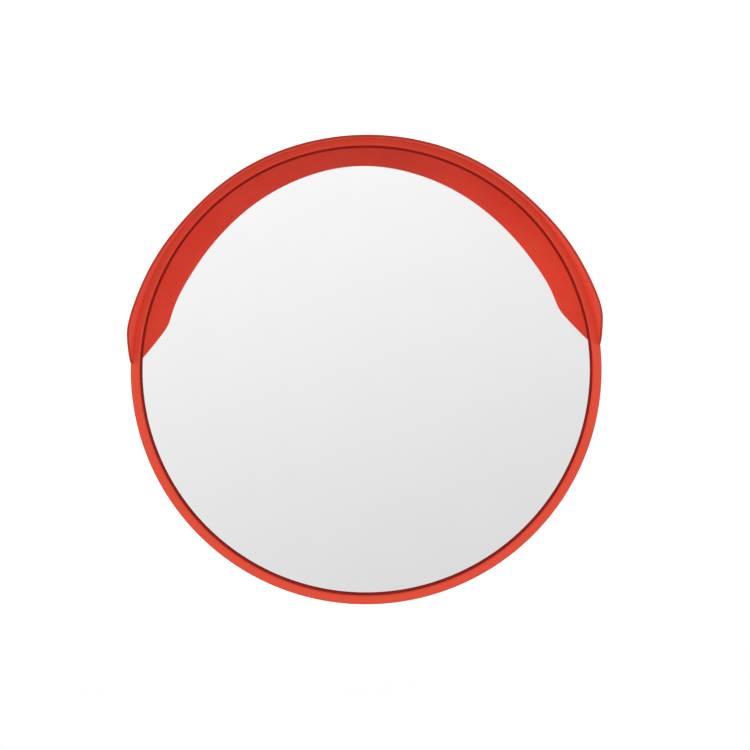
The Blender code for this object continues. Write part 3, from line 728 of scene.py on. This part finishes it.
def visor_front(angles, sizes):
    """How far the visor stands out at each angle above the level diameter.

    Each end is cut on a straight slant on the unrolled band, less a tip that fades within a
    degree or two. The front edge dips at the top and over each corner, as bell curves. A soft
    minimum of the two rounds the corner between them: half of their sum less the root of
    their difference squared and the corner's size squared.
    """
    corner, tip, taken_off = 18 * MM, 14 * MM, 5 * MM
    above = np.minimum(angles, pi - angles)
    slant = tip + sizes.visor_slant * RIM_RADIUS * (above - VISOR_END)
    slant = slant - taken_off * np.exp((VISOR_END - above) / radians(1))
    dips = sizes.visor_dip * bell(above, 90, 20) + sizes.corner_dip * bell(above, 20, 9)
    level = sizes.visor_reach - dips
    return (slant + level) / 2 - np.sqrt(((slant - level) / 2) ** 2 + corner**2 / 4)


class MIRROR_OT_visor(Operator):
    """Half band that shades the mirror"""

    bl_idname = "mirror.visor"
    bl_label = "Visor"

    def execute(self, context):
        """A rounded strip section carried round the upper half, as deep as the visor reaches.

        Across the strip a point runs up the inner wall, round the lip, down the outer wall and
        round the back edge. The strip's half thickness shrinks to nothing at both ends of the
        band as a circle does, which rounds them. In front of its root the strip flares: its
        radius grows by the flare times the depth past the root. The flare is larger over each
        corner and smaller halfway up each flank, as bell curves. Painted shade darkens the lip.
        """
        sizes = context.scene.mirror_head
        half = VISOR_WALL / 2
        middle = VISOR_INNER + half
        back, root = -18 * MM, 6 * MM
        seat = 10.5 * MM            # from the back edge past the countersinks, in even rows
        _, centres = screw_angles("visor_screw")
        low, high = VISOR_END, pi - VISOR_END
        angles = rim_angles(low, high, radians(0.75), centres, middle)
        ends = half / middle * (1 - np.cos(np.linspace(0, pi / 2, 7)))[1:]
        angles = np.unique(np.r_[angles, low + ends, high - ends])
        to_end = np.minimum(angles - low, high - angles) * middle
        thick = half * np.sqrt(np.clip(1 - (1 - to_end / half).clip(0) ** 2, 1e-4, 1))
        front = visor_front(angles, sizes)
        near = back + half
        rows = near + np.linspace(0, seat, 19)
        far = rows[-1]
        share = np.linspace(0, 1, 22)[1:]
        tail = far + share[None] * (front[:, None] - half - far)
        wall = np.hstack([np.broadcast_to(rows, (len(angles), len(rows))), tail])
        lip = np.linspace(-pi / 2, pi / 2, 11)[1:-1]
        t = thick[:, None]
        cut = countersinks(angles, wall, centres, middle)
        across = np.hstack([-t + 0 * wall, t * np.sin(lip), (t - cut)[:, ::-1], -t * np.sin(lip)])
        lip_depth = wall[:, -1:] + t * np.cos(lip)
        depth = np.hstack([wall, lip_depth, wall[:, ::-1], near - t * np.cos(lip)])
        above = np.minimum(angles, pi - angles)[:, None]
        corners = sizes.corner_flare * bell(above, 15, 8)
        flanks = sizes.flank_draw * bell(above, 45, 14)
        flare = sizes.visor_flare + corners - flanks
        spread = flare * np.clip(depth - root, 0, None)
        shell = skin(revolved(middle + spread + across, depth, angles), wrap_v=True, close="u")
        # Painted shade: the points on the lip are darkened.
        lip_only = depth > wall[:, -1:] + 0.2 * half
        make_piece("visor_hood", [shell], "plastic", "mirror_head", ["visor"], edge_shading=0.8 * lip_only)
        return {"FINISHED"}


class MIRROR_OT_rim_screws(Operator):
    """Countersunk screws with cross recesses round the rim"""

    bl_idname = "mirror.rim_screws"
    bl_label = "Rim screws"

    def execute(self, context):
        """A turned screw whose flat head has a cross-shaped pit.

        The pit's depth falls off across the nearer arm and along it: it is the product of two
        ramps, one of the smaller and one of the larger of |x| and |y|.
        """
        arm_width, arm_flank = 0.8 * MM, 0.3 * MM
        arm_reach, arm_end = 2.4 * MM, 0.6 * MM
        pit_depth = 1.4 * MM
        for kind, radius in (("visor", VISOR_INNER + VISOR_WALL), ("bezel", BEZEL_RADIUS)):
            length = SCREW_LENGTH[kind]
            head = np.linspace(0.1 * MM, SCREW_HEAD - 0.2 * MM, 22)
            edge = [SCREW_HEAD, SCREW_HEAD - 0.15 * MM]
            radii = np.r_[head, edge, SCREW_SHANK, SCREW_SHANK, 0.5 * MM]
            heights = np.r_[0 * head, -0.15 * MM, -0.4 * MM, -SCREW_CONE, 2 * MM - length, -length]
            grid = turned(radii, heights, full_turn(72))
            short, long = np.moveaxis(np.sort(np.abs(grid[..., :2]), axis=-1), -1, 0)
            across = np.clip((arm_width - short) / arm_flank, 0, 1)
            along = np.clip((arm_reach - long) / arm_end, 0, 1)
            grid[..., 2] -= pit_depth * across * along * (heights == 0)
            shell = skin(grid, wrap_u=True, close="v")
            names, angles = screw_angles(kind + "_screw")
            for name, turn in zip(names, angles):
                out = Vector((cos(turn), 0, sin(turn)))
                seat = out * (radius - 0.1 * MM) + Vector((0, RIM_Y - SCREW_DEPTH, 0))
                make_piece(name + "_head", [stood(shell, seat, out)], "zinc", "mirror_head", [name])
        return {"FINISHED"}


# ---------------------------------------------------------------- fasteners

def hexagon(angle, flats):
    """Radius of a hexagon at an angle, for half its width across flats."""
    return flats / np.cos((angle + pi / 6) % (pi / 3) - pi / 6)


def thread(angle, along, radius, pitch):
    """Radius of a screw thread: a triangle wave of turn and height, flattened at its crests."""
    phase = (angle / (2 * pi) - along / pitch) % 1
    wave = np.clip(np.abs(2 * phase - 1) * 1.25 - 0.12, 0, 1)
    return radius - THREAD_DEPTH * pitch * 0.9 * wave


def crown(angle, share, flats, height):
    """Points over a hexagonal face with its corners turned off at 30 degrees.

    Past 0.95 of the half width the face falls by tan 30 degrees for each unit outwards.
    """
    r = share[None] * hexagon(angle, flats)[:, None]
    fall = np.clip(r - 0.95 * flats, 0, None) * np.tan(pi / 6)
    return r, height - fall


def bolt_shell(size, length, threaded):
    """Hexagon bolt along +Z.

    A crowned head over a round bearing face, a plain shank, and a thread whose last turn is
    turned down towards the tip.
    """
    angle = full_turn(48)
    spec = METRIC[size]
    share = np.r_[0.02, 0.3, 0.6, 0.8, np.linspace(0.86, 1, 6)]
    top_r, top_z = crown(angle, share, spec["flats"], spec["head"])
    rim_r = hexagon(angle, spec["flats"])[:, None]
    one = np.ones_like(rim_r)
    rise = np.arange(0, threaded, spec["pitch"] / 8)
    end_z = -length + rise[::-1]
    ramp = np.clip((end_z + length) / spec["pitch"], 0.0, 1)
    cut = thread(angle[:, None], end_z[None], spec["shank"], spec["pitch"])
    cut = np.minimum(cut, spec["shank"] * (0.78 + 0.22 * ramp)[None])
    radius = np.hstack([
        top_r, rim_r, rim_r * 0.985, one * spec["flats"] * 0.97, one * spec["shank"],
        one * spec["shank"], cut, one * spec["shank"] * 0.3,
    ])
    height = np.hstack([
        top_z, one * 0.25 * MM, one * 0, one * 0, one * 0,
        one * (threaded - length + 0.2 * MM), end_z + 0 * cut, -one * length,
    ])
    return skin(turned(radius, height, angle), wrap_u=True, close="v")


def nut_shell(size, height):
    """Hexagon nut on +Z: both faces crowned, with a chamfered hole."""
    angle = full_turn(48)
    spec = METRIC[size]
    hole = spec["shank"] + HOLE_PLAY
    chamfer = 0.6 * MM
    share = np.r_[np.linspace((hole + chamfer) / spec["flats"], 0.84, 3), np.linspace(0.88, 1, 5)]
    top_r, top_z = crown(angle, share, spec["flats"], height)
    one = np.ones((len(angle), 1))
    inside = np.linspace(chamfer, height - chamfer, 6)
    radius = np.hstack([top_r, top_r[:, ::-1], hole * one + 0 * inside])
    level = np.hstack([top_z, (height - top_z)[:, ::-1], one * inside])
    return skin(turned(radius, level, angle), wrap_u=True, wrap_v=True)


def washer_shell(size, outer, thick):
    """Flat washer on +Z, stamped: its upper outer edge is rounded over."""
    hole = METRIC[size]["shank"] + HOLE_PLAY
    lower = [(hole, 0, 0.1 * MM), (outer, 0, 0.2 * MM)]
    upper = [(outer, thick, 0.5 * MM), (hole, thick, 0.2 * MM)]
    profile = filleted(lower + upper, steps=4)
    return skin(turned(*profile.T, full_turn(64)), wrap_u=True, wrap_v=True)


def fasteners():
    """Each bolted-on fastener: node, form, thread, body and the way it faces."""
    forward, behind = (0, -1, 0), (0, 1, 0)
    rows = []
    for i in range(1, 5):
        rows += [
            (f"mount_bolt_{i}", "bolt", "M8", "mirror_head", forward),
            (f"mount_washer_{i}", "washer", "M8", "mirror_head", behind),
            (f"mount_nut_{i}", "nut", "M8", "mirror_head", behind),
            (f"u_bolt_washer_{i}", "washer", "M8", "pole_bracket", forward),
            (f"u_bolt_nut_{i}", "nut", "M8", "pole_bracket", forward),
        ]
    pivots = (("tilt", (1, 0, 0), "mirror_head"), ("pan", (0, 0, 1), "pole_bracket"))
    for joint, axis, body in pivots:
        other = tuple(-c for c in axis)
        rows += [
            (joint + "_bolt", "bolt", "M10", body, axis),
            (joint + "_washer_1", "washer", "M10", body, axis),
            (joint + "_washer_2", "washer", "M10", body, other),
            (joint + "_nut", "nut", "M10", body, other),
        ]
    return rows


def place_fasteners(form):
    """Build each fastener of one form where its node lies."""
    for node, kind, size, body, axis in fasteners():
        if kind != form:
            continue
        low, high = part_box(node)
        out = Vector(axis)
        middle = (low + high) / 2
        extent = abs((high - low).dot(out))
        base = middle - out * extent / 2
        if form == "bolt":
            length = extent - METRIC[size]["head"]
            shell = bolt_shell(size, length, BOLT_THREAD)
            base = base + out * length
        elif form == "nut":
            shell = nut_shell(size, extent)
        else:
            across = [e for e in (high - low) if e > extent * 1.5]
            shell = washer_shell(size, max(across) / 2, extent)
        make_piece(node + "_fine", [stood(shell, base, axis)], "zinc", body, [node])


class MIRROR_OT_bolts(Operator):
    """Hexagon bolts of the shell and the two pivots"""

    bl_idname = "mirror.bolts"
    bl_label = "Bolts"

    def execute(self, context):
        """One bolt for each bolt node."""
        place_fasteners("bolt")
        return {"FINISHED"}


class MIRROR_OT_nuts(Operator):
    """Hexagon nuts"""

    bl_idname = "mirror.nuts"
    bl_label = "Nuts"

    def execute(self, context):
        """One nut for each nut node."""
        place_fasteners("nut")
        return {"FINISHED"}


class MIRROR_OT_washers(Operator):
    """Flat washers"""

    bl_idname = "mirror.washers"
    bl_label = "Washers"

    def execute(self, context):
        """One washer for each washer node."""
        place_fasteners("washer")
        return {"FINISHED"}


class MIRROR_OT_u_bolts(Operator):
    """U-bolts round the pole"""

    bl_idname = "mirror.u_bolts"
    bl_label = "U-bolts"

    def execute(self, context):
        """A round rod carried along two legs and a half round, threaded at both ends.

        The path is one line of arc length: leg, half circle, leg. The section's radius follows
        the thread within the threaded length of each tip, and the plain radius between.
        """
        spec = METRIC["M8"]
        rod = spec["shank"]
        for side in ("upper", "lower"):
            node = "u_bolt_" + side
            low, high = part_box(node)
            bend = (high.x - low.x) / 2 - rod
            leg = -low.y
            arc = pi * bend
            total = 2 * leg + arc
            tip = np.arange(0, U_BOLT_THREAD, spec["pitch"] / 8)
            plain = np.linspace(U_BOLT_THREAD + 0.5 * MM, total - U_BOLT_THREAD - 0.5 * MM, 90)
            s = np.r_[tip, plain, (total - tip)[::-1]]
            turn = np.clip((s - leg) / bend, 0, pi)
            over = np.clip(leg - s, 0, None) + np.clip(s - leg - arc, 0, None)
            x = bend * np.cos(turn)
            y = bend * np.sin(turn) - over
            around = full_turn(24)
            to_tip = np.minimum(s, total - s)
            cut = thread(around[None], to_tip[:, None], rod, spec["pitch"])
            radius = np.where(to_tip[:, None] < U_BOLT_THREAD, cut, rod)
            chamfer = 0.72 + 0.28 * (to_tip / spec["pitch"]).clip(0, 1)
            radius = np.minimum(radius, rod * chamfer[:, None])
            out = radius * np.cos(around)
            up = radius * np.sin(around)
            middle = (low.z + high.z) / 2
            grid = np.stack([
                x[:, None] + out * np.cos(turn)[:, None],
                y[:, None] + out * np.sin(turn)[:, None],
                middle + up,
            ], -1)
            shell = skin(grid, wrap_v=True, close="u")
            make_piece(node + "_rod", [shell], "zinc", "pole_bracket", [node])
        return {"FINISHED"}


# ---------------------------------------------------------------- bracket

class MIRROR_OT_plates(Operator):
    """Steel plates, knuckle and saddles with softened edges"""

    bl_idname = "mirror.plates"
    bl_label = "Bracket plates"

    def execute(self, context):
        """Each is a merged copy of its node, with a narrow bevel on its sharp edges."""
        material, slot = finish("plate")
        fold = radians(35)
        width = context.scene.mirror_head.edge_round
        rows = [
            ("mast_bracket", "pole_bracket"),
            ("pole_saddle_upper", "pole_bracket"),
            ("pole_saddle_lower", "pole_bracket"),
            ("knuckle", "knuckle"),
            ("tilt_yoke", "mirror_head"),
            ("backing_plate", "mirror_head"),
        ]
        for node, body in rows:
            bm = bmesh.new()
            bm.from_mesh(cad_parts[node].data)
            bmesh.ops.remove_doubles(bm, verts=bm.verts, dist=1e-6)
            bmesh.ops.dissolve_limit(bm, angle_limit=radians(1), verts=bm.verts, edges=bm.edges)
            mesh = bpy.data.meshes.new(node + "_plate")
            bm.to_mesh(mesh)
            bm.free()
            mesh.materials.clear()
            mesh.materials.append(material)
            mesh.shade_smooth()
            mesh.set_sharp_from_angle(angle=fold)
            piece = bpy.data.objects.new(node + "_plate", mesh)
            context.scene.collection.objects.link(piece)
            soft = piece.modifiers.new("edges", "BEVEL")
            soft.width = width
            soft.segments = 3
            soft.limit_method = "ANGLE"
            soft.angle_limit = fold
            soft.harden_normals = True
            settle(piece, body, [node])
        return {"FINISHED"}


def weld_shell(start, end, radius, wave):
    """Bead of weld metal from start to end.

    A circle is carried along the line. Its radius is the bead's, times a ripple of one hump
    for each wave's length, times an end taper that falls like a circle over one radius.
    """
    start, end = np.array(start), np.array(end)
    length = np.linalg.norm(end - start)
    along = (end - start) / length
    side = np.cross(along, [0, 1, 0])
    s = np.linspace(0, length, int(length / (wave / 7)) + 1)
    near_end = np.minimum(s, length - s).clip(0, radius)
    taper = np.sqrt(np.clip(1 - (1 - near_end / radius) ** 2, 0.01, 1))
    ripple = 1 + 0.10 * np.abs(np.sin(pi * s / wave)) + 0.04 * np.sin(s / wave * 0.9)
    size = radius * taper * ripple
    around = full_turn(16)
    out = side[None, None] * np.cos(around)[None, :, None]
    up = np.array([0, 1.0, 0])[None, None] * np.sin(around)[None, :, None]
    grid = start + s[:, None, None] * along + size[:, None, None] * (out + up)
    return skin(grid, wrap_v=True, close="u")


class MIRROR_OT_welds(Operator):
    """Weld beads at the roots of the ears"""

    bl_idname = "mirror.welds"
    bl_label = "Welds"

    def execute(self, context):
        """A bead along both sides of each ear where it meets its plate."""
        inner, outer = 20.4 * MM, 26.4 * MM     # the two faces of an ear
        yoke_half, mast_half = 19 * MM, 21 * MM
        radius, wave = 1.9 * MM, 1.7 * MM
        yoke_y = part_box("tilt_yoke")[0].y + 5 * MM
        mast_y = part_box("mast_bracket")[1].y - 6 * MM
        yoke, mast = [], []
        for edge in (inner, outer, -inner, -outer):
            yoke.append(weld_shell((edge, yoke_y, -yoke_half), (edge, yoke_y, yoke_half), radius, wave))
            mast.append(weld_shell((-mast_half, mast_y, edge), (mast_half, mast_y, edge), radius, wave))
        make_piece("yoke_welds", yoke, "plate", "mirror_head")
        make_piece("mast_welds", mast, "plate", "pole_bracket")
        return {"FINISHED"}


# ---------------------------------------------------------------- stage

class MIRROR_OT_stage(Operator):
    """White cove, soft light and camera"""

    bl_idname = "mirror.stage"
    bl_label = "Stage"

    def execute(self, context):
        """Set up everything that isn't part of the object."""
        studio = context.scene.mirror_studio
        self.add_cove(context, studio)
        self.add_sky(context)
        self.add_lamps(context, studio)
        self.add_camera(context, studio)
        context.scene.view_settings.view_transform = "Standard"
        return {"FINISHED"}

    def add_cove(self, context, studio):
        """A round floor that curves up into a wall: a profile turned about +Z."""
        floor = -studio.floor_drop
        corners = [(0.01, floor, 0), (7.0, floor, 2.0), (7.0, floor + 6.0, 0)]
        profile = filleted(corners, steps=24, closed=False)
        points, quads, _ = skin(turned(*profile.T, full_turn(128)), wrap_u=True)
        mesh = bpy.data.meshes.new("cove")
        mesh.from_pydata(points, [], quads[:, ::-1].tolist())
        mesh.shade_smooth()
        mesh.materials.append(studio_paint())
        cove = bpy.data.objects.new("cove", mesh)
        context.scene.collection.objects.link(cove)
        cove.visible_diffuse = False
        cove.visible_glossy = False
        cove.visible_shadow = False

    def add_sky(self, context):
        """Soft light from all round: a gentle slope within the mirror's view, and beyond it
        brighter walls on both sides and a dimmer ceiling.

        Its strength is 0.92, plus the dot product of the direction and a slope, plus a smooth
        step of |x| from 0.7 to 0.95, less one of z from 0.5 to 0.85.
        """
        world = bpy.data.worlds.new("studio_sky")
        context.scene.world = world
        world.use_nodes = True
        tree = world.node_tree
        way = add_node(tree, "ShaderNodeTexCoord", {}, "Generated")
        slope = {0: way, 1: (-0.06, 0.0, 0.195)}
        level = add_node(tree, "ShaderNodeVectorMath", slope, "Value", operation="DOT_PRODUCT")
        axes = add_node(tree, "ShaderNodeSeparateXYZ", {"Vector": way}).node.outputs
        aside = add_node(tree, "ShaderNodeMath", {0: axes["X"]}, operation="ABSOLUTE")
        walls = {"Value": aside, "From Min": 0.7, "From Max": 0.95, "To Max": 1.2}
        ceiling = {"Value": axes["Z"], "From Min": 0.5, "From Max": 0.85, "To Max": -0.9}
        for step in (walls, ceiling):
            part = add_node(tree, "ShaderNodeMapRange", step, interpolation_type="SMOOTHSTEP")
            level = add_node(tree, "ShaderNodeMath", {0: level, 1: part}, operation="ADD")
        level = add_node(tree, "ShaderNodeMath", {0: level, 1: 0.92}, operation="ADD")
        plug(tree, tree.nodes["Background"], {"Color": (1, 1, 1, 1), "Strength": level})

    def add_lamps(self, context, studio):
        """A soft key lamp above on the left, a soft fill on each side and one low in front.

        The mirror doesn't show the fills. They light the flanks of the visor and the ring
        beneath it.
        """
        rows = (
            ("key", studio.key_power, (-2.4, -1.9, 2.6)),
            ("fill_left", studio.fill_power, (-3.0, -2.9, -0.1)),
            ("fill_right", studio.fill_power, (3.0, -2.9, -0.1)),
            ("fill_front", studio.front_power, (0.0, -4.0, -0.6)),
        )
        for name, power, place in rows:
            data = bpy.data.lights.new(name, "AREA")
            data.energy = power
            data.size = 1.4
            lamp = bpy.data.objects.new(name, data)
            lamp.location = place
            aim = Vector((0, RIM_Y, 0)) - lamp.location
            lamp.rotation_euler = aim.to_track_quat("-Z", "Y").to_euler()
            lamp.visible_glossy = name == "key"
            context.scene.collection.objects.link(lamp)

    def add_camera(self, context, studio):
        """In front of the mirror, a little above and to the left of its axis."""
        data = bpy.data.cameras.new("camera")
        data.sensor_width = 36
        data.lens = studio.lens
        camera = bpy.data.objects.new("camera", data)
        place = Vector((studio.sideways, RIM_Y - studio.distance, studio.height))
        target = Vector((studio.aim_right, RIM_Y, -studio.aim_down))
        look = (target - place).to_track_quat("-Z", "Y")
        camera.location = place
        camera.rotation_mode = "QUATERNION"
        camera.rotation_quaternion = look @ Quaternion((0, 0, 1), studio.roll)
        context.scene.collection.objects.link(camera)
        context.scene.camera = camera


# ---------------------------------------------------------------- add-on

OPERATORS = (
    MIRROR_OT_stage, MIRROR_OT_face, MIRROR_OT_seal, MIRROR_OT_bezel, MIRROR_OT_shell,
    MIRROR_OT_visor, MIRROR_OT_rim_screws, MIRROR_OT_bolts, MIRROR_OT_nuts, MIRROR_OT_washers,
    MIRROR_OT_u_bolts, MIRROR_OT_plates, MIRROR_OT_welds,
)


class MIRROR_PT_panel(Panel):
    """Lists what can be built"""

    bl_label = "Convex Traffic Mirror"
    bl_idname = "MIRROR_PT_panel"
    bl_space_type = "VIEW_3D"
    bl_region_type = "UI"
    bl_category = "Mirror"

    def draw(self, context):
        """A button for each operator, then the settings."""
        for operator in OPERATORS:
            self.layout.operator(operator.bl_idname)
        scene = context.scene
        for group in (scene.mirror_head, scene.mirror_finishes, scene.mirror_studio):
            box = self.layout.box()
            for key in group.__annotations__:
                box.prop(group, key)


CLASSES = (HeadSizes, Finishes, StudioSettings, *OPERATORS, MIRROR_PT_panel)


def register():
    """Register the classes and hang the settings on the scene."""
    for cls in CLASSES:
        bpy.utils.register_class(cls)
    bpy.types.Scene.mirror_head = PointerProperty(type=HeadSizes)
    bpy.types.Scene.mirror_finishes = PointerProperty(type=Finishes)
    bpy.types.Scene.mirror_studio = PointerProperty(type=StudioSettings)


def unregister():
    """Undo register."""
    for name in ("mirror_head", "mirror_finishes", "mirror_studio"):
        delattr(bpy.types.Scene, name)
    for cls in reversed(CLASSES):
        bpy.utils.unregister_class(cls)


def main():
    """Register the add-on and run every operator, which builds everything."""
    register()
    for operator in OPERATORS:
        group, name = operator.bl_idname.split(".")
        getattr(getattr(bpy.ops, group), name)()


if __name__ == "__main__":
    main()
